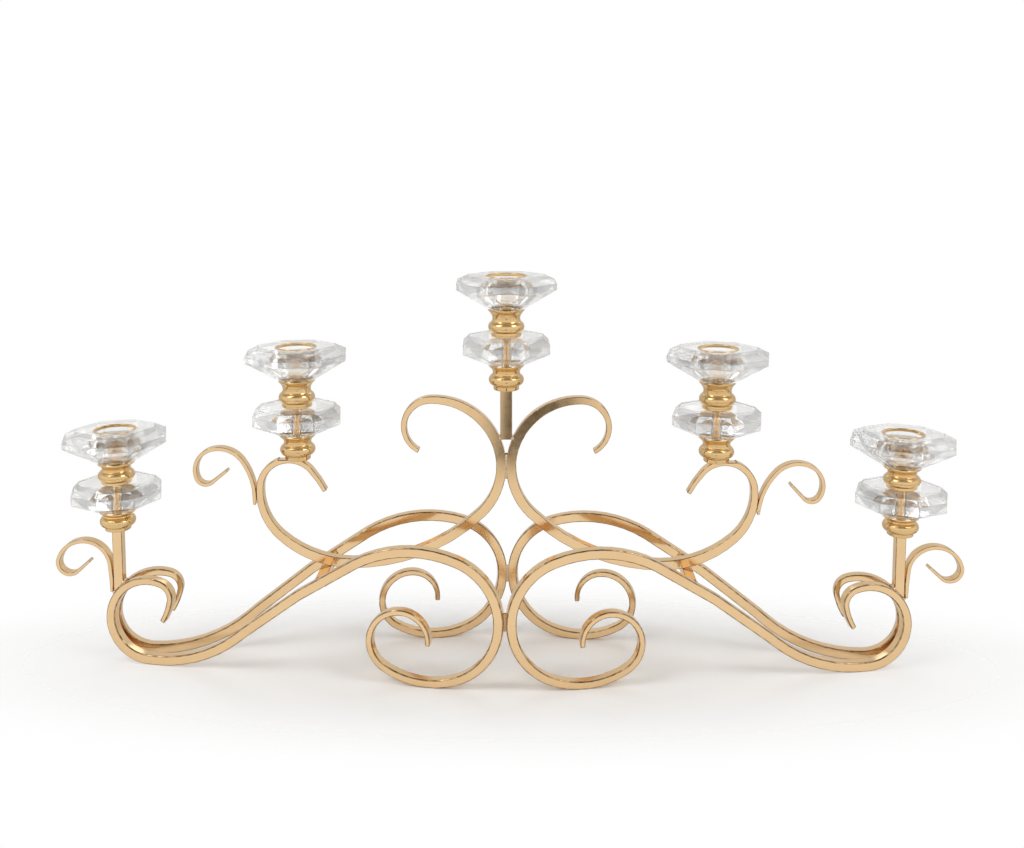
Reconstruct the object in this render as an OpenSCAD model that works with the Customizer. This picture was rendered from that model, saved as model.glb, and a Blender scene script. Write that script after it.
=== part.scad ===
// Five-arm tabletop candelabra: four base scrolls and two upper scrolls of square steel bar carry
// three square posts and five candle holders. Each holder is a stack of turned brass collars and
// eight-sided crystals that turns on a threaded stud.
// +Z is up, the length lies along X, the front faces -Y, and the origin is on the table under the
// middle.

/* [Scroll bars] */
// Thickness of the square bar that the scrolls are bent from
bar = 6.4; // [5.6:0.1:7]
// Thickness of the base scrolls at their drawn-out ends
base_tip = 3.2; // [2:0.1:5]
// Thickness of the upper scrolls at their drawn-out ends
upper_tip = 2.7; // [2:0.1:5]
// Angle by which each base scroll opens away from the middle plane
splay = 8.3; // [6:0.1:10]
// Half the distance between the outermost points of the end loops
end_reach = 265.5; // [262:0.5:270]
// Height at which the two upper scrolls touch
upper_touch_z = 132.5; // [130:0.5:135]

/* [Curls and crossbars] */
// Thickness of the strip that the small curls are rolled from
strip = 2.5; // [2:0.1:3]
// Distance of each crossbar from the middle
cross_x = 118.5; // [116:0.5:120]
// Height of the middle of the crossbars
cross_z = 61.9; // [58:0.1:62]

/* [Posts and studs] */
// Width of the square centre post
centre_post_w = 7.6; // [7:0.1:8]
// Width of the square end posts
end_post_w = 6.4; // [6:0.1:7]
// Height of the top of the centre post
centre_post_top = 183; // [175:1:190]
// Height of the top of the end posts
end_post_top = 88; // [84:1:92]
// Height of the seat of the middle holders, on the crests of the upper scrolls
crest_seat_z = 136.2; // [136:0.1:137]
// Distance of the middle holders from the centre
mid_x = 136.4; // [134:0.2:138]
// Distance of the end holders from the centre
end_x = 256.6; // [254:0.2:258]
// Diameter of the threaded studs
stud_d = 5.6; // [5:0.1:6]

/* [Candle holders] */
// Height of the lower collar of the three middle holders
lower_collar_h = 17.2; // [16:0.1:19]
// Height of the lower collar of the two end holders
end_lower_collar_h = 13.8; // [13:0.1:16]
// Height of the crystal disc
disc_h = 18; // [16:0.5:20]
// Height of the upper collar of the three middle holders
upper_collar_h = 18.3; // [17:0.1:20]
// Height of the upper collar of the two end holders
end_upper_collar_h = 14.6; // [14:0.1:17]
// Height of the crystal cup
cup_h = 21; // [20:0.5:24]
// Width of the crystal cup across its flats
cup_af = 63.6; // [60:0.2:70]
// Width of the crystal disc across its flats
disc_af = 55.5; // [50:0.5:60]
// Diameter of the candle well
well_d = 24; // [22.5:0.5:25]
// Depth of the candle well
well_depth = 12.6; // [11.6:0.1:13.1]
// Turn of each holder about its stud at rest, from left to right
holder_turns = [18, 9, 2, -13, -21]; // [-22.5:0.5:22.5]

/* [Hidden] */
$fn = 96;

GOLD = [0.86, 0.72, 0.53];
BRASS = [0.85, 0.66, 0.36];
CRYSTAL = [0.86, 0.90, 0.92, 0.45];

// Gap that keeps neighbours on different bodies apart, and the gap at a welded touch
free_gap = 0.3;
touch_gap = 0.05;
// Radial clearance of the collars on the studs
run_fit = 0.05;
// Depth to which the loops are worn flat where they stand on the table
foot_flat = 0.15;
// Turn covered by one straight facet of a bend
bend_step = 6;

// Bends are [radius, turn], turns to the left being positive. A radius of 0 is a straight run
// of the second value. The base scroll starts at the bottom of its big loop.
base_rise = [[54, 20], [40.8, 140], [79, 49], [515, 10]];
base_fall = [[89, -39]];
base_end = [[89, -5], [26.6, -194], [10, -83], [43, -20]];
base_hook = [[54, -32], [20, -153], [18, -93]];
base_hook_taper = 180;
base_end_taper = 90;
upper_start = [-bar / 2 - touch_gap, upper_touch_z];
upper_down = [[43.5, -46], [122, -18], [122, -26], [70, -42], [40, -54], [19, -134], [78, -12]];
upper_hook = [[43.5, 26], [44.5, 66], [18, 150]];
upper_hook_taper = 85;
upper_down_taper = 125;
// The inner curl on the right is welded on a little lower, and leans further out
inner_curl_left_pose = [-165.1, 106, 84];
inner_curl_right_pose = [-163.85, 101.7, 92];
inner_curl_bends = [[43, 41], [19, 69], [14.5, 98], [6.4, 107], [0, 13]];
outer_curl_x = end_x + end_post_w / 2 + strip / 2 + free_gap;
outer_curl_pose = [-outer_curl_x, 46.2, 87];
outer_curl_bends = [[100, 11], [17.5, 156], [7.8, 148], [0, 11]];

centre_post_foot = 150.8;
// The foot of an end post is cut on the slant, to lie on the end loops
end_post_foot_in = 52.3;
end_post_foot_out = 46;
// Depth of the studs in the posts, and in the crests of the upper scrolls
stud_hole_depth = 10;
stud_socket = 2;

// Holders: [x, height of the seat] of each, from left to right
SEATS = [
    [-end_x, end_post_top], [-mid_x, crest_seat_z], [0, centre_post_top],
    [mid_x, crest_seat_z], [end_x, end_post_top],
];

// Heights in holder i above its seat
function at_end(i) = i == 0 || i == len(SEATS) - 1;
function disc_z(i) = at_end(i) ? end_lower_collar_h : lower_collar_h;
function upper_collar_z(i) = disc_z(i) + disc_h;
function cup_z(i) = upper_collar_z(i) + (at_end(i) ? end_upper_collar_h : upper_collar_h);
function well_floor_z(i) = cup_z(i) + cup_h - well_depth;
function washer_z(i) = well_floor_z(i) - washer_t;
function stud_top_z(i) = washer_z(i) - stud_set_back;

pocket_r = 5.4;
pocket_depth = 4.2;
stud_r = stud_d / 2;
stud_set_back = 0.5;
crystal_bore_r = stud_r + 0.5;
ring_w = 1.4;
ring_h = 1.6;
ring_proud = 0.3;
edge_break = 0.4;
washer_r = 7.4;
washer_t = 0.9;
washer_hole_r = 2.4;
nut_af = 8;
bead_sweep = 62;
neck_height = 0.45;

// ---------------------------------------------------------------- bent bars

function turn_steps(bend) = bend[0] == 0 ? 1 : ceil(abs(bend[1]) / bend_step);

// Pose [x, z, heading] reached from a pose after a share of a bend
function advance(pose, bend, share) =
    bend[0] == 0
    ? [pose[0] + share * bend[1] * cos(pose[2]), pose[1] + share * bend[1] * sin(pose[2]), pose[2]]
    : let (turn = share * bend[1], r = sign(bend[1]) * bend[0])
        [
            pose[0] + r * (sin(pose[2] + turn) - sin(pose[2])),
            pose[1] - r * (cos(pose[2] + turn) - cos(pose[2])),
            pose[2] + turn,
        ];

// All poses along a chain of bends, without the first
function chain(pose, bends, i = 0) =
    i == len(bends) ? [] :
    let (n = turn_steps(bends[i]))
    concat(
        [for (k = [1:n]) advance(pose, bends[i], k / n)],
        chain(advance(pose, bends[i], 1), bends, i + 1)
    );

function reversed(list) = [for (i = [len(list) - 1:-1:0]) list[i]];

function turned_back(poses) = [for (p = reversed(poses)) [p[0], p[1], p[2] + 180]];

// A bar's centre line: one chain runs back from the start, and one runs on
function centre_line(x, z, heading, back, on) = concat(
    turned_back(chain([x, z, heading + 180], back)),
    [[x, z, heading]],
    chain([x, z, heading], on)
);

function step_length(line, i) = norm([line[i][0] - line[i - 1][0], line[i][1] - line[i - 1][1]]);

function distances(line) = [
    for (i = 0, s = 0; i < len(line); i = i + 1, s = i < len(line) ? s + step_length(line, i) : s) s
];

// Thickness at a distance along a bar whose ends are drawn out over a taper
function thickness(s, total, full, tip, taper_a, taper_b) =
    tip + (full - tip) * min(1, s / taper_a, (total - s) / taper_b);

function outline(line, full, tip, taper_a, taper_b) =
    let (
        dist = distances(line),
        total = dist[len(dist) - 1],
        half = [for (s = dist) thickness(s, total, full, tip, taper_a, taper_b) / 2],
        left = [for (i = [0:len(line) - 1]) [
            line[i][0] - half[i] * sin(line[i][2]), line[i][1] + half[i] * cos(line[i][2])]],
        right = [for (i = [0:len(line) - 1]) [
            line[i][0] + half[i] * sin(line[i][2]), line[i][1] - half[i] * cos(line[i][2])]]
    )
    concat(left, reversed(right));

module bent_bar(points, depth) {
    rotate([90, 0, 0])
        linear_extrude(height = depth, center = true)
            polygon(points);
}

// ---------------------------------------------------------------- base scrolls

function total_turn(bends, i = 0) = i == len(bends) ? 0 : bends[i][1] + total_turn(bends, i + 1);

function bends_length(bends, i = 0) =
    i == len(bends) ? 0 : bends[i][0] * abs(bends[i][1]) * PI / 180 + bends_length(bends, i + 1);

function end_of(pose, bends) = let (line = chain(pose, bends)) line[len(line) - 1];

// The big loop's inmost face meets its mirror image at the middle plane
loop_touch = bar / 2 / cos(splay) + bar / 2 * tan(splay) + touch_gap;
loop_bottom_u = -loop_touch - base_rise[0][0] * sin(base_rise[0][1])
    - base_rise[1][0] * (1 - sin(base_rise[0][1]));
// The big loop is still drawn out a little where it stands on the table
loop_bottom_t = base_tip + (bar - base_tip) * min(1, bends_length(base_hook) / base_hook_taper);
loop_bottom_z = loop_bottom_t / 2 - foot_flat;
end_bottom_z = bar / 2 - foot_flat;
// The straight run is as long as it takes for the end loop to come down to the table
slope = total_turn(base_rise) - 180;
rise_end_z = end_of([0, loop_bottom_z, 0], base_rise)[1];
fall_drop = -end_of([0, 0, total_turn(base_rise)], base_fall)[1];
straight_run = (rise_end_z - fall_drop - end_bottom_z) / sin(slope);
base_bends = concat(base_rise, [[0, straight_run]], base_fall, base_end);
base_line = centre_line(loop_bottom_u, loop_bottom_z, 0, base_hook, base_bends);
base_outline = outline(base_line, bar, base_tip, base_hook_taper, base_end_taper);

// The scroll is drawn in its own upright plane and swung out about the end of the candelabra
module base_scroll() {
    color(GOLD)
        intersection() {
            translate([-end_reach, -bar / 2 - touch_gap, 0])
                rotate([0, 0, -splay])
                    translate([end_reach / cos(splay), 0, 0])
                        bent_bar(base_outline, bar);
            translate([-2 * end_reach, -end_reach, 0])
                cube([2 * end_reach, end_reach, end_reach]);
        }
}

module base_scroll_front_left() { base_scroll(); }
module base_scroll_front_right() { mirror([1, 0, 0]) base_scroll(); }
module base_scroll_rear_left() { mirror([0, 1, 0]) base_scroll(); }
module base_scroll_rear_right() { mirror([1, 0, 0]) mirror([0, 1, 0]) base_scroll(); }

// ---------------------------------------------------------------- upper scrolls and curls

upper_line = centre_line(upper_start[0], upper_start[1], -90, upper_hook, upper_down);
upper_outline = outline(upper_line, bar, upper_tip, upper_hook_taper, upper_down_taper);
module upper_scroll() {
    color(GOLD)
        difference() {
            bent_bar(upper_outline, bar);
            translate([-mid_x, 0, crest_seat_z - stud_socket])
                cylinder(r = stud_r, h = stud_socket + bar);
            translate([-mid_x, 0, crest_seat_z])
                cylinder(r = 2 * bar, h = bar);
        }
}

module upper_scroll_left() { upper_scroll(); }
module upper_scroll_right() { mirror([1, 0, 0]) upper_scroll(); }

module curl(pose, bends) {
    line = concat([pose], chain(pose, bends));
    color(GOLD)
        bent_bar(outline(line, strip, 0.7 * strip, strip, 8 * strip), bar);
}

module inner_curl_left() { curl(inner_curl_left_pose, inner_curl_bends); }
module inner_curl_right() { mirror([1, 0, 0]) curl(inner_curl_right_pose, inner_curl_bends); }
module outer_curl_left() { curl(outer_curl_pose, outer_curl_bends); }
module outer_curl_right() { mirror([1, 0, 0]) outer_curl_left(); }

// ---------------------------------------------------------------- crossbars and posts

// Half the length of a crossbar where it meets the inner face of a base scroll
function inner_face_y(x) = touch_gap + (end_reach - x) * tan(splay) + bar / 2 * (1 - 1 / cos(splay));

module cross_bar_right() {
    near = cross_x - bar / 2;
    far = cross_x + bar / 2;
    color(GOLD)
        translate([0, 0, cross_z - bar / 2])
            linear_extrude(height = bar)
                polygon([
                    [near, -inner_face_y(near)], [far, -inner_face_y(far)],
                    [far, inner_face_y(far)], [near, inner_face_y(near)],
                ]);
}

module cross_bar_left() { mirror([1, 0, 0]) cross_bar_right(); }

module stud_hole(x, z) {
    translate([x, 0, z - stud_hole_depth])
        cylinder(r = stud_r, h = 2 * stud_hole_depth);
}

module centre_post() {
    color(GOLD)
        difference() {
            translate([-centre_post_w / 2, -centre_post_w / 2, centre_post_foot])
                cube([centre_post_w, centre_post_w, centre_post_top - centre_post_foot]);
            stud_hole(0, centre_post_top);
        }
}

module end_post_right() {
    near = end_x - end_post_w / 2;
    far = end_x + end_post_w / 2;
    color(GOLD)
        difference() {
            bent_bar([
                [near, end_post_foot_in], [far, end_post_foot_out],
                [far, end_post_top], [near, end_post_top],
            ], end_post_w);
            stud_hole(end_x, end_post_top);
        }
}

module end_post_left() { mirror([1, 0, 0]) end_post_right(); }

// ---------------------------------------------------------------- studs

module stud(i) {
    depth = i == 1 || i == 3 ? stud_socket : stud_hole_depth;
    color(BRASS)
        translate([SEATS[i][0], 0, SEATS[i][1] - depth])
            cylinder(r = stud_r, h = depth + stud_top_z(i));
}

module stud_1() { stud(0); }
module stud_2() { stud(1); }
module stud_3() { stud(2); }
module stud_4() { stud(3); }
module stud_5() { stud(4); }

// ---------------------------------------------------------------- holder pieces

// Puts a piece of a holder on its stud, turned as it stands at rest
module on_stud(i) {
    translate([SEATS[i][0], 0, SEATS[i][1]])
        rotate([0, 0, holder_turns[i]])
            children();
}

function arc_points(centre, r, from, to, n) =
    [for (k = [0:n]) let (a = from + (to - from) * k / n) centre + r * [cos(a), sin(a)]];

// Points up a hollow neck, from the top of the bead to the underside of the lip
function neck_points(from, to, neck_r, steps) =
    let (
        pull_r = neck_r - sqrt((from[0] - neck_r) * (to[0] - neck_r)),
        pull = [pull_r, from[1] + neck_height * (to[1] - from[1])]
    )
    [
        for (k = [1:steps - 1])
            let (t = k / steps) pow(1 - t, 2) * from + 2 * t * (1 - t) * pull + pow(t, 2) * to
    ];

// A turned collar: foot ring, round bead, hollow neck and a lip under the crystal
module collar(height, foot_r, foot_h, bead_r, bead_z, bead_half, neck_r, lip_r, lip_t) {
    bead_x = bead_r - bead_half;
    bead_top = [
        bead_x + bead_half * cos(bead_sweep), bead_z + bead_half * sin(bead_sweep)
    ];
    lip_foot = [lip_r - edge_break, height - lip_t];
    color(BRASS)
        difference() {
            rotate_extrude()
                polygon(concat(
                    [
                        [0, free_gap], [foot_r - edge_break, free_gap],
                        [foot_r, free_gap + edge_break], [foot_r, foot_h],
                    ],
                    arc_points([bead_x, bead_z], bead_half, -bead_sweep, bead_sweep, 12),
                    neck_points(bead_top, lip_foot, neck_r, 10),
                    [
                        lip_foot, [lip_r, height - lip_t / 2],
                        [lip_r, height - edge_break], [lip_r - edge_break, height], [0, height],
                    ]
                ));
            translate([0, 0, -1])
                cylinder(r = stud_r + run_fit, h = height + 2);
        }
}

module lower_collar(i) {
    short = at_end(i);
    on_stud(i)
        collar(
            height = disc_z(i), foot_r = 8.3, foot_h = short ? 2.6 : 3,
            bead_r = 11.4, bead_z = short ? 6.2 : 6.9, bead_half = short ? 3.6 : 3.8,
            neck_r = 8.8, lip_r = 11.8, lip_t = 1.4
        );
}

module upper_collar(i) {
    short = at_end(i);
    on_stud(i)
        translate([0, 0, upper_collar_z(i) - free_gap])
            collar(
                height = cup_z(i) - upper_collar_z(i) + free_gap,
                foot_r = 9.8, foot_h = short ? 1.6 : 2.2,
                bead_r = 11.7, bead_z = short ? 5.4 : 6.6, bead_half = short ? 3.6 : 3.9,
                neck_r = 9, lip_r = 12, lip_t = 1.5
            );
}

// An eight-sided crystal: four upright prisms, each with the crystal's profile, crossed at 45
// degrees, so that every facet is one flat face
module crystal(height, width, base_w, table_w, girdle_low, girdle_high) {
    intersection_for(k = [0:3])
        rotate([0, 0, 45 * k])
            bent_bar([
                [-base_w / 2, 0], [-width / 2, girdle_low], [-width / 2, girdle_high],
                [-table_w / 2, height], [table_w / 2, height],
                [width / 2, girdle_high], [width / 2, girdle_low], [base_w / 2, 0],
            ], 2 * width);
}

module crystal_disc(i) {
    color(CRYSTAL)
        on_stud(i)
            translate([0, 0, disc_z(i)])
                difference() {
                    crystal(
                        height = disc_h, width = disc_af,
                        base_w = 0.42 * disc_af, table_w = 0.86 * disc_af,
                        girdle_low = 0.44 * disc_h, girdle_high = 0.79 * disc_h
                    );
                    translate([0, 0, -1])
                        cylinder(r = crystal_bore_r, h = disc_h + 2);
                }
}

module crystal_cup(i) {
    color(CRYSTAL)
        on_stud(i)
            translate([0, 0, cup_z(i)])
                difference() {
                    crystal(
                        height = cup_h, width = cup_af,
                        base_w = 0.36 * cup_af, table_w = 0.77 * cup_af,
                        girdle_low = 0.64 * cup_h, girdle_high = 0.82 * cup_h
                    );
                    translate([0, 0, -1])
                        cylinder(r = crystal_bore_r, h = cup_h);
                    translate([0, 0, cup_h - well_depth - washer_t - pocket_depth])
                        cylinder(r = pocket_r, h = cup_h);
                    translate([0, 0, cup_h - well_depth - washer_t])
                        cylinder(r = washer_r + touch_gap, h = cup_h);
                    translate([0, 0, cup_h - well_depth])
                        cylinder(d = well_d, h = cup_h);
                    translate([0, 0, cup_h - ring_h])
                        cylinder(r = well_d / 2 + ring_w, h = cup_h);
                }
}

module rim_ring(i) {
    color(BRASS)
        on_stud(i)
            translate([0, 0, cup_z(i) + cup_h - ring_h])
                difference() {
                    cylinder(r = well_d / 2 + ring_w - touch_gap, h = ring_h + ring_proud);
                    translate([0, 0, -1])
                        cylinder(d = well_d, h = ring_h + 3);
                }
}

module well_washer(i) {
    color(BRASS)
        on_stud(i)
            translate([0, 0, washer_z(i)])
                difference() {
                    cylinder(r = washer_r, h = washer_t);
                    translate([0, 0, -1])
                        cylinder(r = washer_hole_r, h = washer_t + 2);
                }
}

module stud_nut(i) {
    color(BRASS)
        on_stud(i)
            translate([0, 0, washer_z(i) - pocket_depth])
                difference() {
                    cylinder(r = nut_af / 2 / cos(30), h = pocket_depth, $fn = 6);
                    translate([0, 0, -1])
                        cylinder(r = stud_r + run_fit, h = pocket_depth + 2);
                }
}

module lower_collar_1() { lower_collar(0); }
module lower_collar_2() { lower_collar(1); }
module lower_collar_3() { lower_collar(2); }
module lower_collar_4() { lower_collar(3); }
module lower_collar_5() { lower_collar(4); }

module crystal_disc_1() { crystal_disc(0); }
module crystal_disc_2() { crystal_disc(1); }
module crystal_disc_3() { crystal_disc(2); }
module crystal_disc_4() { crystal_disc(3); }
module crystal_disc_5() { crystal_disc(4); }

module upper_collar_1() { upper_collar(0); }
module upper_collar_2() { upper_collar(1); }
module upper_collar_3() { upper_collar(2); }
module upper_collar_4() { upper_collar(3); }
module upper_collar_5() { upper_collar(4); }

module crystal_cup_1() { crystal_cup(0); }
module crystal_cup_2() { crystal_cup(1); }
module crystal_cup_3() { crystal_cup(2); }
module crystal_cup_4() { crystal_cup(3); }
module crystal_cup_5() { crystal_cup(4); }

module rim_ring_1() { rim_ring(0); }
module rim_ring_2() { rim_ring(1); }
module rim_ring_3() { rim_ring(2); }
module rim_ring_4() { rim_ring(3); }
module rim_ring_5() { rim_ring(4); }

module well_washer_1() { well_washer(0); }
module well_washer_2() { well_washer(1); }
module well_washer_3() { well_washer(2); }
module well_washer_4() { well_washer(3); }
module well_washer_5() { well_washer(4); }

module stud_nut_1() { stud_nut(0); }
module stud_nut_2() { stud_nut(1); }
module stud_nut_3() { stud_nut(2); }
module stud_nut_4() { stud_nut(3); }
module stud_nut_5() { stud_nut(4); }

base_scroll_front_left();
base_scroll_front_right();
base_scroll_rear_left();
base_scroll_rear_right();
upper_scroll_left();
upper_scroll_right();
inner_curl_left();
inner_curl_right();
outer_curl_left();
outer_curl_right();
cross_bar_left();
cross_bar_right();
centre_post();
end_post_left();
end_post_right();
stud_1();
stud_2();
stud_3();
stud_4();
stud_5();
lower_collar_1();
lower_collar_2();
lower_collar_3();
lower_collar_4();
lower_collar_5();
crystal_disc_1();
crystal_disc_2();
crystal_disc_3();
crystal_disc_4();
crystal_disc_5();
upper_collar_1();
upper_collar_2();
upper_collar_3();
upper_collar_4();
upper_collar_5();
crystal_cup_1();
crystal_cup_2();
crystal_cup_3();
crystal_cup_4();
crystal_cup_5();
rim_ring_1();
rim_ring_2();
rim_ring_3();
rim_ring_4();
rim_ring_5();
well_washer_1();
well_washer_2();
well_washer_3();
well_washer_4();
well_washer_5();
stud_nut_1();
stud_nut_2();
stud_nut_3();
stud_nut_4();
stud_nut_5();
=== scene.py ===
import math
import random

import bmesh
import bpy
from mathutils import Matrix, Vector, noise


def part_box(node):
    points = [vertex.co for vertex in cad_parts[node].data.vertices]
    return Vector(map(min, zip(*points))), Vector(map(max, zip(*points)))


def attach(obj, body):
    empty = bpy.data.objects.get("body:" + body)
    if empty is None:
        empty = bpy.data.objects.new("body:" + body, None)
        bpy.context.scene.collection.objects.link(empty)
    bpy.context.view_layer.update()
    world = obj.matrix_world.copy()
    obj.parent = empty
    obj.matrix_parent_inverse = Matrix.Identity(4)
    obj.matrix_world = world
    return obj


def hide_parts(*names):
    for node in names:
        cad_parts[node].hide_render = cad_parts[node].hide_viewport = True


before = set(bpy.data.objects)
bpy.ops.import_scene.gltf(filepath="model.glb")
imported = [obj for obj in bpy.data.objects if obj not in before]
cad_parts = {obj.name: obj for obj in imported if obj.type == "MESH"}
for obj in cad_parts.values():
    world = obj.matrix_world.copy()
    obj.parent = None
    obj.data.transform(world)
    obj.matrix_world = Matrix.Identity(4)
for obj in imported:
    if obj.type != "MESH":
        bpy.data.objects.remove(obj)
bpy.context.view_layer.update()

MM = 0.001
HOLDERS = range(1, 6)
STUD_R = 2.8 * MM
BORE_R = 2.85 * MM
SLIVER = 0.001 * MM
BAR_EDGE = 0.75 * MM
CREST_EDGE = 0.45 * MM   # below the height of the step at the crest seats
POST_EDGE = 0.4 * MM
STRIP_EDGE = 0.3 * MM
CRYSTAL_EDGE = 0.22 * MM
NUT_EDGE = 0.2 * MM

# Half lengths of the weld runs
ACROSS = Vector((0, 2.9 * MM, 0))
UP_LOOPS = Vector((0, 0, 5 * MM))
UP_HOOKS = Vector((0, 0, 7 * MM))
BEAD_R = 1.2             # in mm
FOOT_BEAD_R = 1.3
CORNER_BEAD_R = 0.9

# Noise patterns in the materials, in cycles per metre
CLOUDS = 45
ROUGH_PATCHES = 120
# Breaks the painted dark reflection on the broken edges into patches
PAINTED_EDGE_PATCHES = 260
METAL_GRAIN = 1600

# How bright the room is by height, from 0 straight down to 1 straight up
MIRRORED_ROOM = (
    (0.0, 0.95), (0.48, 0.95), (0.56, 1.1), (0.72, 1.05), (0.80, 0.7), (0.87, 0.3),
    (0.92, 0.04), (1.0, 0.03))
REFRACTED_ROOM = ((0.0, 1.0), (0.45, 1.05), (0.6, 1.14), (0.8, 1.0), (0.92, 0.55), (1.0, 0.25))


# ---------------------------------------------------------------- mesh helpers

def new_piece(name, bm, body, material, stands_for=()):
    """A finished mesh object that rides on a body."""
    mesh = bpy.data.meshes.new(name)
    bm.to_mesh(mesh)
    bm.free()
    piece = bpy.data.objects.new(name, mesh)
    bpy.context.scene.collection.objects.link(piece)
    mesh.materials.append(material)
    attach(piece, body)
    if stands_for:
        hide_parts(*stands_for)
    return piece


def shade(piece, sharp_degrees):
    """Smooth shading that keeps flats flat and breaks at edges sharper than an angle."""
    piece.data.shade_smooth()
    piece.data.set_sharp_from_angle(angle=math.radians(sharp_degrees))
    normals = piece.modifiers.new("flat_faces", "WEIGHTED_NORMAL")
    normals.keep_sharp = True
    normals.weight = 100


def finished_copy(node, suffix, body, material, edge_r, steps, sharp=60, over=32):
    """The CAD piece's own shape with its edges broken to a small radius."""
    bm = bmesh.new()
    bm.from_mesh(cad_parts[node].data)
    bmesh.ops.remove_doubles(bm, verts=bm.verts, dist=SLIVER)
    bmesh.ops.dissolve_limit(
        bm, angle_limit=math.radians(0.3), verts=bm.verts, edges=bm.edges)
    # Marks the bevel faces; the metal and crystal materials paint a dark reflection on them
    painted_edges = bm.faces.layers.float.new("painted_edge_reflection")
    corners = [
        e for e in bm.edges
        if len(e.link_faces) == 2 and e.calc_face_angle(0) > math.radians(over)]
    made = bmesh.ops.bevel(
        bm, geom=corners, offset=edge_r, offset_type="OFFSET", segments=steps,
        profile=0.5, affect="EDGES", clamp_overlap=False)
    for face in made["faces"]:
        face[painted_edges] = 1
    bmesh.ops.recalc_face_normals(bm, faces=bm.faces)
    piece = new_piece(node + suffix, bm, body, material, [node])
    shade(piece, sharp)
    return piece


def arc(centre, r, start, end, steps):
    """Points (radius, height) on an arc, angles in degrees."""
    out = []
    for k in range(steps + 1):
        a = math.radians(start + (end - start) * k / steps)
        out.append((centre[0] + r * math.cos(a), centre[1] + r * math.sin(a)))
    return out


def hollow(start, end, neck_r, steps):
    """Points up a hollow neck that is no thinner than neck_r."""
    pull_r = neck_r - math.sqrt((start[0] - neck_r) * (end[0] - neck_r))
    pull = Vector((pull_r, start[1] + 0.45 * (end[1] - start[1])))
    a, b = Vector(start), Vector(end)
    return [
        tuple(a * (1 - t) ** 2 + pull * 2 * t * (1 - t) + b * t ** 2)
        for t in (k / steps for k in range(1, steps))]


def softened(points, r, over=25, steps=4):
    """A closed outline with its corners rounded."""
    out = []
    count = len(points)
    for i in range(count):
        before, at, after = (Vector(points[(i + k) % count]) for k in (-1, 0, 1))
        a, b = before - at, after - at
        if a.length < 1e-9 or b.length < 1e-9:
            continue
        if math.pi - a.angle(b) < math.radians(over):
            out.append(tuple(at))
            continue
        reach = min(r, a.length * 0.45, b.length * 0.45)
        p, q = at + a.normalized() * reach, at + b.normalized() * reach
        for k in range(steps + 1):
            t = k / steps
            out.append(tuple(p * (1 - t) ** 2 + at * 2 * t * (1 - t) + q * t ** 2))
    return out


def lathe(outline, axis_x, base_z, segments=96):
    """A closed outline (radius, height), in mm, turned about an upright axis."""
    bm = bmesh.new()
    rings = []
    for r, z in outline:
        ring = []
        for k in range(segments):
            a = 2 * math.pi * k / segments
            ring.append(bm.verts.new((
                axis_x + r * MM * math.cos(a), r * MM * math.sin(a), base_z + z * MM)))
        rings.append(ring)
    for i, ring in enumerate(rings):
        following = rings[(i + 1) % len(rings)]
        for k in range(segments):
            m = (k + 1) % segments
            bm.faces.new((ring[k], ring[m], following[m], following[k]))
    bmesh.ops.recalc_face_normals(bm, faces=bm.faces)
    return bm


def tip(node, direction):
    """The middle of the CAD piece's points that lie furthest along a direction."""
    d = Vector(direction)
    points = [v.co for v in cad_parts[node].data.vertices]
    far = max(p.dot(d) for p in points)
    last = [p for p in points if p.dot(d) > far - 0.03 * MM]
    return sum(last, Vector()) / len(last)


def middle(node):
    """The middle of a CAD piece's box."""
    lo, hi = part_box(node)
    return (lo + hi) / 2


# ---------------------------------------------------------------- materials

def node_material(name):
    """A new material with its node tree and its main shader."""
    material = bpy.data.materials.new(name)
    material.use_nodes = True
    tree = material.node_tree
    return material, tree, tree.nodes["Principled BSDF"]


def noise_value(tree, scale, detail=4.0, stretch=(1, 1, 1)):
    """A noise pattern fixed to the object, with scale in cycles per metre."""
    place = tree.nodes.new("ShaderNodeTexCoord")
    mapping = tree.nodes.new("ShaderNodeMapping")
    mapping.inputs["Scale"].default_value = stretch
    texture = tree.nodes.new("ShaderNodeTexNoise")
    texture.inputs["Scale"].default_value = scale
    texture.inputs["Detail"].default_value = detail
    tree.links.new(place.outputs["Object"], mapping.inputs["Vector"])
    tree.links.new(mapping.outputs["Vector"], texture.inputs["Vector"])
    return texture.outputs["Fac"]


def spread(tree, value, low, high, start=0.3, end=0.7, blend="LINEAR"):
    """Maps the range from start to end of a value onto low to high."""
    ramp = tree.nodes.new("ShaderNodeMapRange")
    ramp.interpolation_type = blend
    ramp.inputs["From Min"].default_value = start
    ramp.inputs["From Max"].default_value = end
    ramp.inputs["To Min"].default_value = low
    ramp.inputs["To Max"].default_value = high
    tree.links.new(value, ramp.inputs["Value"])
    return ramp.outputs["Result"]


def mixed(tree, factor, a, b):
    """A mix of two colours; each may be a colour or a socket."""
    mix = tree.nodes.new("ShaderNodeMix")
    mix.data_type = "RGBA"
    tree.links.new(factor, mix.inputs["Factor"])
    for socket, colour in ((mix.inputs[6], a), (mix.inputs[7], b)):
        if isinstance(colour, tuple):
            socket.default_value = (*colour, 1)
        else:
            tree.links.new(colour, socket)
    return mix.outputs[2]


def bumped(tree, shader, height, strength, distance):
    """Lets a height pattern tilt the shader's surface."""
    bump = tree.nodes.new("ShaderNodeBump")
    bump.inputs["Strength"].default_value = strength
    bump.inputs["Distance"].default_value = distance
    tree.links.new(height, bump.inputs["Height"])
    tree.links.new(bump.outputs["Normal"], shader.inputs["Normal"])


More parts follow.
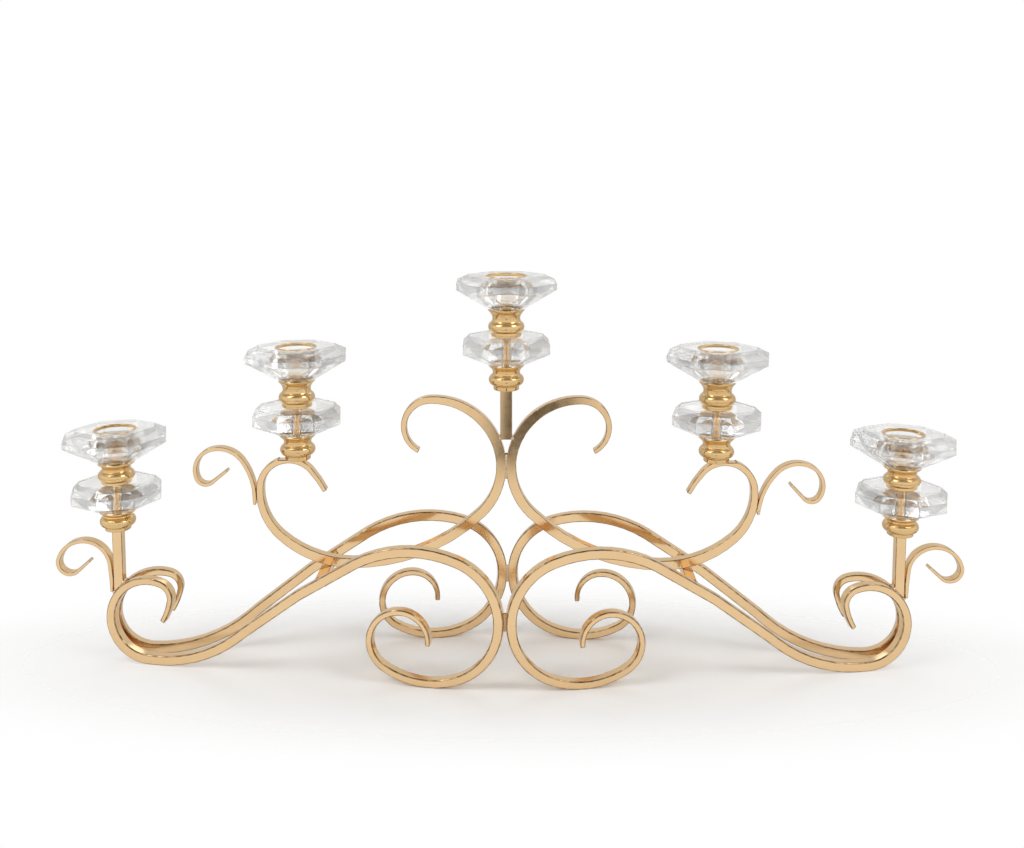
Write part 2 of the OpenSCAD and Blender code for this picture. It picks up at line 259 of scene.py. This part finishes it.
def plated_metal(name, light, deep, edge, rough, grain, bump):
    """Plated metal: clouded colour, fine grain, and a painted dark reflection in patches on the
    broken edges.
    """
    material, tree, shader = node_material(name)
    clouds = spread(tree, noise_value(tree, CLOUDS), 0, 1)
    fine = noise_value(tree, METAL_GRAIN, 3)
    # Painted dark reflection: bevel faces are mixed towards the edge colour, in patches
    painted_edges = tree.nodes.new("ShaderNodeAttribute")
    painted_edges.attribute_name = "painted_edge_reflection"
    patchy_painted_edges = tree.nodes.new("ShaderNodeMath")
    patchy_painted_edges.operation = "MULTIPLY"
    tree.links.new(painted_edges.outputs["Fac"], patchy_painted_edges.inputs[0])
    tree.links.new(spread(tree, noise_value(tree, PAINTED_EDGE_PATCHES), 0.35, 1), patchy_painted_edges.inputs[1])
    body = mixed(tree, clouds, light, deep)
    tree.links.new(mixed(tree, patchy_painted_edges.outputs[0], body, edge), shader.inputs["Base Color"])
    shader.inputs["Metallic"].default_value = 1
    roughness = tree.nodes.new("ShaderNodeMath")
    roughness.operation = "ADD"
    tree.links.new(
        spread(tree, noise_value(tree, ROUGH_PATCHES), rough - grain, rough + grain),
        roughness.inputs[0])
    tree.links.new(spread(tree, fine, -grain / 2, grain / 2), roughness.inputs[1])
    tree.links.new(roughness.outputs[0], shader.inputs["Roughness"])
    bumped(tree, shader, fine, bump, 0.02 * MM)
    return material


def crystal_glass(name):
    """Clear crystal with a faint unevenness left by polishing, and a painted dark reflection on
    its broken edges.
    """
    material, tree, shader = node_material(name)
    shader.inputs["Transmission Weight"].default_value = 1
    shader.inputs["IOR"].default_value = 1.47
    polish = noise_value(tree, 240, 3)
    tree.links.new(spread(tree, polish, 0.0, 0.006), shader.inputs["Roughness"])
    bumped(tree, shader, noise_value(tree, 90, 2), 0.03, 0.05 * MM)
    # Painted dark reflection: the broken edges are greyed, in the glass and in the light that
    # passes straight through
    painted_edges = tree.nodes.new("ShaderNodeAttribute")
    painted_edges.attribute_name = "painted_edge_reflection"
    clear = mixed(tree, spread(tree, noise_value(tree, 30), 0, 1),
                  (0.975, 0.98, 0.98), (0.99, 0.99, 0.99))
    glass_with_painted_edges = mixed(tree, painted_edges.outputs["Fac"], clear, (0.62, 0.62, 0.61))
    tree.links.new(glass_with_painted_edges, shader.inputs["Base Color"])
    through = tree.nodes.new("ShaderNodeBsdfTransparent")
    tree.links.new(glass_with_painted_edges, through.inputs["Color"])
    blend = tree.nodes.new("ShaderNodeMixShader")
    tree.links.new(spread(tree, noise_value(tree, 60), 0.30, 0.38), blend.inputs["Fac"])
    tree.links.new(shader.outputs[0], blend.inputs[1])
    tree.links.new(through.outputs[0], blend.inputs[2])
    tree.links.new(blend.outputs[0], tree.nodes["Material Output"].inputs["Surface"])
    return material


def floor_surface(name, inner, outer):
    """Matt white paper that fades out into the white room."""
    material, tree, shader = node_material(name)
    grain = noise_value(tree, 300, 3)
    tree.links.new(
        mixed(tree, spread(tree, noise_value(tree, 3), 0, 1),
              (0.93, 0.925, 0.915), (0.95, 0.945, 0.935)),
        shader.inputs["Base Color"])
    tree.links.new(spread(tree, grain, 0.55, 0.65), shader.inputs["Roughness"])
    place = tree.nodes.new("ShaderNodeTexCoord")
    distance = tree.nodes.new("ShaderNodeVectorMath")
    distance.operation = "LENGTH"
    oval = tree.nodes.new("ShaderNodeMapping")
    oval.inputs["Scale"].default_value = (0.3, 1, 1)
    tree.links.new(place.outputs["Object"], oval.inputs["Vector"])
    tree.links.new(oval.outputs["Vector"], distance.inputs[0])
    clear = tree.nodes.new("ShaderNodeBsdfTransparent")
    fade = tree.nodes.new("ShaderNodeMixShader")
    tree.links.new(spread(tree, distance.outputs["Value"], 0, 1, inner, outer, "SMOOTHSTEP"),
                   fade.inputs["Fac"])
    tree.links.new(shader.outputs[0], fade.inputs[1])
    tree.links.new(clear.outputs[0], fade.inputs[2])
    tree.links.new(fade.outputs[0], tree.nodes["Material Output"].inputs["Surface"])
    return material


# edge is the colour of the painted dark reflection on the broken edges
GOLD = plated_metal(
    "champagne_gold", light=(0.90, 0.645, 0.37), deep=(0.86, 0.60, 0.33),
    edge=(0.16, 0.09, 0.04), rough=0.13, grain=0.025, bump=0.03)
BRASS = plated_metal(
    "polished_brass", light=(0.78, 0.545, 0.27), deep=(0.71, 0.48, 0.22),
    edge=(0.5, 0.3, 0.1), rough=0.08, grain=0.02, bump=0.02)
HARDWARE = plated_metal(
    "hardware_brass", light=(0.78, 0.56, 0.33), deep=(0.66, 0.46, 0.26),
    edge=(0.40, 0.26, 0.13), rough=0.26, grain=0.05, bump=0.15)
WELD = plated_metal(
    "weld_bead", light=(0.74, 0.62, 0.47), deep=(0.50, 0.38, 0.25),
    edge=(0.4, 0.3, 0.2), rough=0.33, grain=0.08, bump=0.5)
CRYSTAL = crystal_glass("crystal")


# ---------------------------------------------------------------- bars, posts and curls

def bars():
    """The scrolls, curls, crossbars and posts, with their edges broken."""
    for end in ("left", "right"):
        for row in ("front", "rear"):
            finished_copy(f"base_scroll_{row}_{end}", "_bar", "frame",
                          GOLD, BAR_EDGE, 4)
        finished_copy(f"upper_scroll_{end}", "_bar", "frame",
                      GOLD, CREST_EDGE, 4)
        for curl in (f"inner_curl_{end}", f"outer_curl_{end}"):
            finished_copy(curl, "_strip", "frame", GOLD, STRIP_EDGE, 3)
        finished_copy(f"cross_bar_{end}", "_bar", "frame",
                      GOLD, POST_EDGE, 3)
        finished_copy(f"end_post_{end}", "_bar", "frame",
                      GOLD, POST_EDGE, 3)
    finished_copy("centre_post", "_bar", "frame", GOLD, POST_EDGE, 3)


# ---------------------------------------------------------------- weld beads

def bead_run(bm, start, end, r, seed):
    """A short run of overlapping ripples, like a hand-laid weld."""
    rng = random.Random(seed)
    length = (end - start).length
    count = max(2, round(length / (0.75 * r)) + 1)
    for k in range(count):
        at = start.lerp(end, k / (count - 1))
        size = r * rng.uniform(0.85, 1.1)
        ball = bmesh.ops.create_icosphere(bm, subdivisions=3, radius=size)
        squeeze = Matrix.Diagonal((rng.uniform(0.85, 1.1), rng.uniform(0.85, 1.1),
                                   rng.uniform(0.85, 1.05), 1))
        for v in ball["verts"]:
            wobble = 1 + 0.07 * noise.noise(v.co * 900 + Vector((seed, k, 0)))
            v.co = at + squeeze @ v.co * wobble


def welds():
    """Beads where the bars touch: loops, crests of curls, post feet and crossbars."""
    runs = []
    for row in ("front", "rear"):
        touch = tip(f"base_scroll_{row}_left", (1, 0, 0))
        touch.x = 0
        runs.append((touch - UP_LOOPS, touch + UP_LOOPS, BEAD_R))
    touch = tip("upper_scroll_left", (1, 0, 0))
    touch.x = 0
    for face in (-1, 1):
        at = touch + Vector((0, face * 2.2 * MM, 0))
        runs.append((at - UP_HOOKS, at + UP_HOOKS, BEAD_R))
    for side in (-1, 1):
        end = "left" if side < 0 else "right"
        foot = tip(f"inner_curl_{end}", (0, 0, -1))
        at = foot - Vector((side * 1.2 * MM, 0, -3 * MM))
        runs.append((at - ACROSS, at + ACROSS, BEAD_R))
        foot = tip(f"outer_curl_{end}", (0, 0, -1))
        at = foot - Vector((side * 1.0 * MM, 0, 0.2 * MM))
        runs.append((at - ACROSS, at + ACROSS, BEAD_R))
        lo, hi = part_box(f"end_post_{end}")
        inner = hi.x if side < 0 else lo.x
        at = Vector((inner, 0, lo.z + 6.6 * MM))
        runs.append((at - ACROSS, at + ACROSS, FOOT_BEAD_R))
        lo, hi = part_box(f"cross_bar_{end}")
        for y in (lo.y + 0.5 * MM, hi.y - 0.5 * MM):
            for x in (lo.x, hi.x):
                runs.append((Vector((x, y, lo.z + 1.2 * MM)),
                             Vector((x, y, hi.z - 1.2 * MM)), CORNER_BEAD_R))
    lo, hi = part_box("centre_post")
    for x in (lo.x, hi.x):
        at = Vector((x, 0, lo.z + 0.8 * MM))
        runs.append((at - ACROSS, at + ACROSS, BEAD_R))
    bm = bmesh.new()
    for number, (start, end, r) in enumerate(runs):
        bead_run(bm, start, end, r * MM, number)
    piece = new_piece("weld_beads", bm, "frame", WELD)
    remesh = piece.modifiers.new("one_skin", "REMESH")
    remesh.mode = "VOXEL"
    remesh.voxel_size = 0.22 * MM
    remesh.use_smooth_shade = True
    return piece


# ---------------------------------------------------------------- studs

def threaded_stud(i):
    """A stud with a real helical thread."""
    node = f"stud_{i}"
    lo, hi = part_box(node)
    pitch, depth = 1.0, 0.4
    around, along = 36, 8
    length = (hi.z - lo.z) / MM
    rows = int(length / pitch * along)
    x = (lo.x + hi.x) / 2
    bm = bmesh.new()
    rings = []
    for row in range(rows + 1):
        z = length * row / rows
        near_end = min(z, length - z)
        ring = []
        for k in range(around):
            phase = (z / pitch - k / around) % 1
            groove = depth * (1 - abs(2 * phase - 1)) ** 0.8
            if near_end < pitch:
                groove = depth
            r = STUD_R - groove * MM
            a = 2 * math.pi * k / around
            ring.append(bm.verts.new((x + r * math.cos(a), r * math.sin(a), lo.z + z * MM)))
        rings.append(ring)
    for one, two in zip(rings, rings[1:]):
        for k in range(around):
            m = (k + 1) % around
            bm.faces.new((one[k], one[m], two[m], two[k]))
    bm.faces.new(rings[0][::-1])
    bm.faces.new(rings[-1])
    piece = new_piece(f"{node}_thread", bm, "frame", HARDWARE, [node])
    piece.data.shade_smooth()
    piece.data.set_sharp_from_angle(angle=math.radians(60))
    return piece


# ---------------------------------------------------------------- holders

def collar(node, body, foot_r, foot_h, bead_r, bead_z, bead_half, neck_r, lip_r, lip_t):
    """A turned collar with a stepped lip, polished in the lathe."""
    lo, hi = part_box(node)
    height = (hi.z - lo.z) / MM
    bead_x = bead_r - bead_half
    bore = BORE_R / MM
    outline = [(bore, 0), (foot_r - 0.4, 0), (foot_r, 0.4), (foot_r, foot_h)]
    bead = arc((bead_x, bead_z), bead_half, -62, 62, 24)
    under_lip = (lip_r - 0.4, height - lip_t)
    outline += bead + hollow(bead[-1], under_lip, neck_r, 20)
    outline += [
        under_lip, (lip_r, height - lip_t / 2), (lip_r, height - 0.4), (lip_r - 0.4, height),
        (bore, height)]
    bm = lathe(softened(outline, 0.3), middle(node).x, lo.z)
    piece = new_piece(f"{node}_turned", bm, body, BRASS, [node])
    shade(piece, 70)
    return piece


def ring_piece(node, suffix, body, material, inner, edge):
    """A flat ring with rounded edges, as wide and as tall as its CAD piece."""
    lo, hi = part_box(node)
    outer = (hi.x - lo.x) / 2 / MM
    height = (hi.z - lo.z) / MM
    outline = [(inner, 0), (outer, 0), (outer, height), (inner, height)]
    bm = lathe(softened(outline, edge), middle(node).x, lo.z)
    piece = new_piece(node + suffix, bm, body, material, [node])
    shade(piece, 70)
    return piece


def crystals(i, body):
    """The disc and the cup of a holder; their clear shadow is left out."""
    for node in (f"crystal_disc_{i}", f"crystal_cup_{i}"):
        piece = finished_copy(node, "_cut", body, CRYSTAL, CRYSTAL_EDGE, 2,
                              sharp=75, over=14)
        piece.visible_shadow = False


def holder(i):
    """All that turns on one stud; the end holders have shorter collars."""
    body = f"holder_{i}"
    short = i in (HOLDERS[0], HOLDERS[-1])
    collar(f"lower_collar_{i}", body, foot_r=8.3, foot_h=2.3 if short else 2.7,
           bead_r=11.4, bead_z=5.9 if short else 6.6, bead_half=3.6 if short else 3.8,
           neck_r=8.8, lip_r=11.8, lip_t=1.4)
    collar(f"upper_collar_{i}", body, foot_r=9.8, foot_h=1.3 if short else 1.9,
           bead_r=11.7, bead_z=5.1 if short else 6.3, bead_half=3.6 if short else 3.9,
           neck_r=9, lip_r=12, lip_t=1.5)
    crystals(i, body)
    ring_piece(f"rim_ring_{i}", "_polished", body, BRASS, 12, 0.35)
    ring_piece(f"well_washer_{i}", "_pressed", body, HARDWARE, 2.4, 0.2)
    finished_copy(f"stud_nut_{i}", "_hex", body, HARDWARE, NUT_EDGE, 2)


# ---------------------------------------------------------------- studio

def flat_panel(name, corners, material):
    """A single flat face of the studio."""
    bm = bmesh.new()
    bm.faces.new([bm.verts.new(c) for c in corners])
    mesh = bpy.data.meshes.new(name)
    bm.to_mesh(mesh)
    bm.free()
    panel = bpy.data.objects.new(name, mesh)
    bpy.context.scene.collection.objects.link(panel)
    mesh.materials.append(material)
    return panel


def floor():
    """White paper under the object."""
    side = 3.0
    flat_panel("floor", [(-side, -side, 0), (side, -side, 0), (side, side, 0), (-side, side, 0)],
               floor_surface("white_paper", 0.02, 0.135))


def dark_card():
    """The dark gap in the studio in front of the object, seen only in reflections."""
    material, tree, shader = node_material("dark_card")
    tree.links.new(
        mixed(tree, noise_value(tree, 6), (0.03, 0.022, 0.015), (0.05, 0.035, 0.025)),
        shader.inputs["Base Color"])
    shader.inputs["Roughness"].default_value = 0.8
    left, right, near, far, lift = -0.026, 0.075, -0.44, -1.15, 2 * MM
    card = flat_panel(
        "dark_gap",
        [(left, near, lift), (right, near, lift), (right, far, lift), (left, far, lift)],
        material)
    card.visible_camera = False
    card.visible_shadow = False
    card.visible_transmission = False


def softbox(name, place, target, width, height, watts):
    """A soft rectangular lamp aimed at a point."""
    light = bpy.data.lights.new(name, "AREA")
    light.shape = "RECTANGLE"
    light.size = width
    light.size_y = height
    light.energy = watts
    lamp = bpy.data.objects.new(name, light)
    bpy.context.scene.collection.objects.link(lamp)
    lamp.location = place
    lamp.rotation_euler = (Vector(target) - Vector(place)).to_track_quat("-Z", "Y").to_euler()
    return lamp


def sky(tree, height, levels, strength):
    """A background whose brightness follows the height of the direction it is seen in."""
    ramp = tree.nodes.new("ShaderNodeValToRGB")
    tree.links.new(height, ramp.inputs["Fac"])
    points = ramp.color_ramp.elements
    for _ in levels[:-2]:
        points.new(0.5)
    for point, (at, level) in zip(points, levels):
        point.position = at
        point.color = (level, level * 0.99, level * 0.97, 1)
    light = tree.nodes.new("ShaderNodeBackground")
    tree.links.new(ramp.outputs["Color"], light.inputs["Color"])
    tree.links.new(strength, light.inputs["Strength"])
    return light


def room():
    """A white room with a dark gap overhead, seen in the metal and hardly in the crystal."""
    world = bpy.data.worlds.new("white_room")
    bpy.context.scene.world = world
    world.use_nodes = True
    tree = world.node_tree
    tree.nodes.clear()
    place = tree.nodes.new("ShaderNodeTexCoord")
    split = tree.nodes.new("ShaderNodeSeparateXYZ")
    tree.links.new(place.outputs["Generated"], split.inputs[0])
    height = spread(tree, split.outputs["Z"], 0, 1, -1, 1)
    mirrored = sky(tree, height, MIRRORED_ROOM,
                   spread(tree, split.outputs["Y"], 0.94, 0.66, -0.1, 0.5))
    refracted = sky(tree, height, REFRACTED_ROOM,
                    spread(tree, split.outputs["Y"], 1.0, 0.94, -0.1, 0.5))
    seen = tree.nodes.new("ShaderNodeBackground")
    seen.inputs["Color"].default_value = (1, 1, 1, 1)
    path = tree.nodes.new("ShaderNodeLightPath")
    glass = tree.nodes.new("ShaderNodeMixShader")
    tree.links.new(path.outputs["Is Transmission Ray"], glass.inputs["Fac"])
    tree.links.new(mirrored.outputs[0], glass.inputs[1])
    tree.links.new(refracted.outputs[0], glass.inputs[2])
    mix = tree.nodes.new("ShaderNodeMixShader")
    tree.links.new(path.outputs["Is Camera Ray"], mix.inputs["Fac"])
    tree.links.new(glass.outputs[0], mix.inputs[1])
    tree.links.new(seen.outputs[0], mix.inputs[2])
    out = tree.nodes.new("ShaderNodeOutputWorld")
    tree.links.new(mix.outputs[0], out.inputs["Surface"])


def camera():
    """A near-level camera a little above the top cups, aimed at the middle."""
    data = bpy.data.cameras.new("camera")
    data.sensor_width = 36
    data.lens = 38.67
    data.shift_x = 0.0055
    data.shift_y = -0.175
    data.clip_start = 0.02
    data.clip_end = 50
    view = bpy.data.objects.new("camera", data)
    bpy.context.scene.collection.objects.link(view)
    view.location = (0.0146, -0.7006, 0.3448)
    view.rotation_euler = (math.radians(84.5), 0, math.radians(1.19))
    bpy.context.scene.camera = view


bars()
welds()
for i in HOLDERS:
    threaded_stud(i)
    holder(i)
floor()
dark_card()
room()
softbox("key", (-0.9, -0.5, 1.4), (0, 0, 0.05), 0.7, 0.7, 8)
softbox("fill", (1.0, -0.5, 1.3), (0, 0, 0.1), 0.6, 0.6, 6)
softbox("back", (0.1, 1.2, 1.3), (0, 0, 0.1), 1.4, 0.7, 4)
camera()
bpy.context.scene.view_settings.view_transform = "Standard"
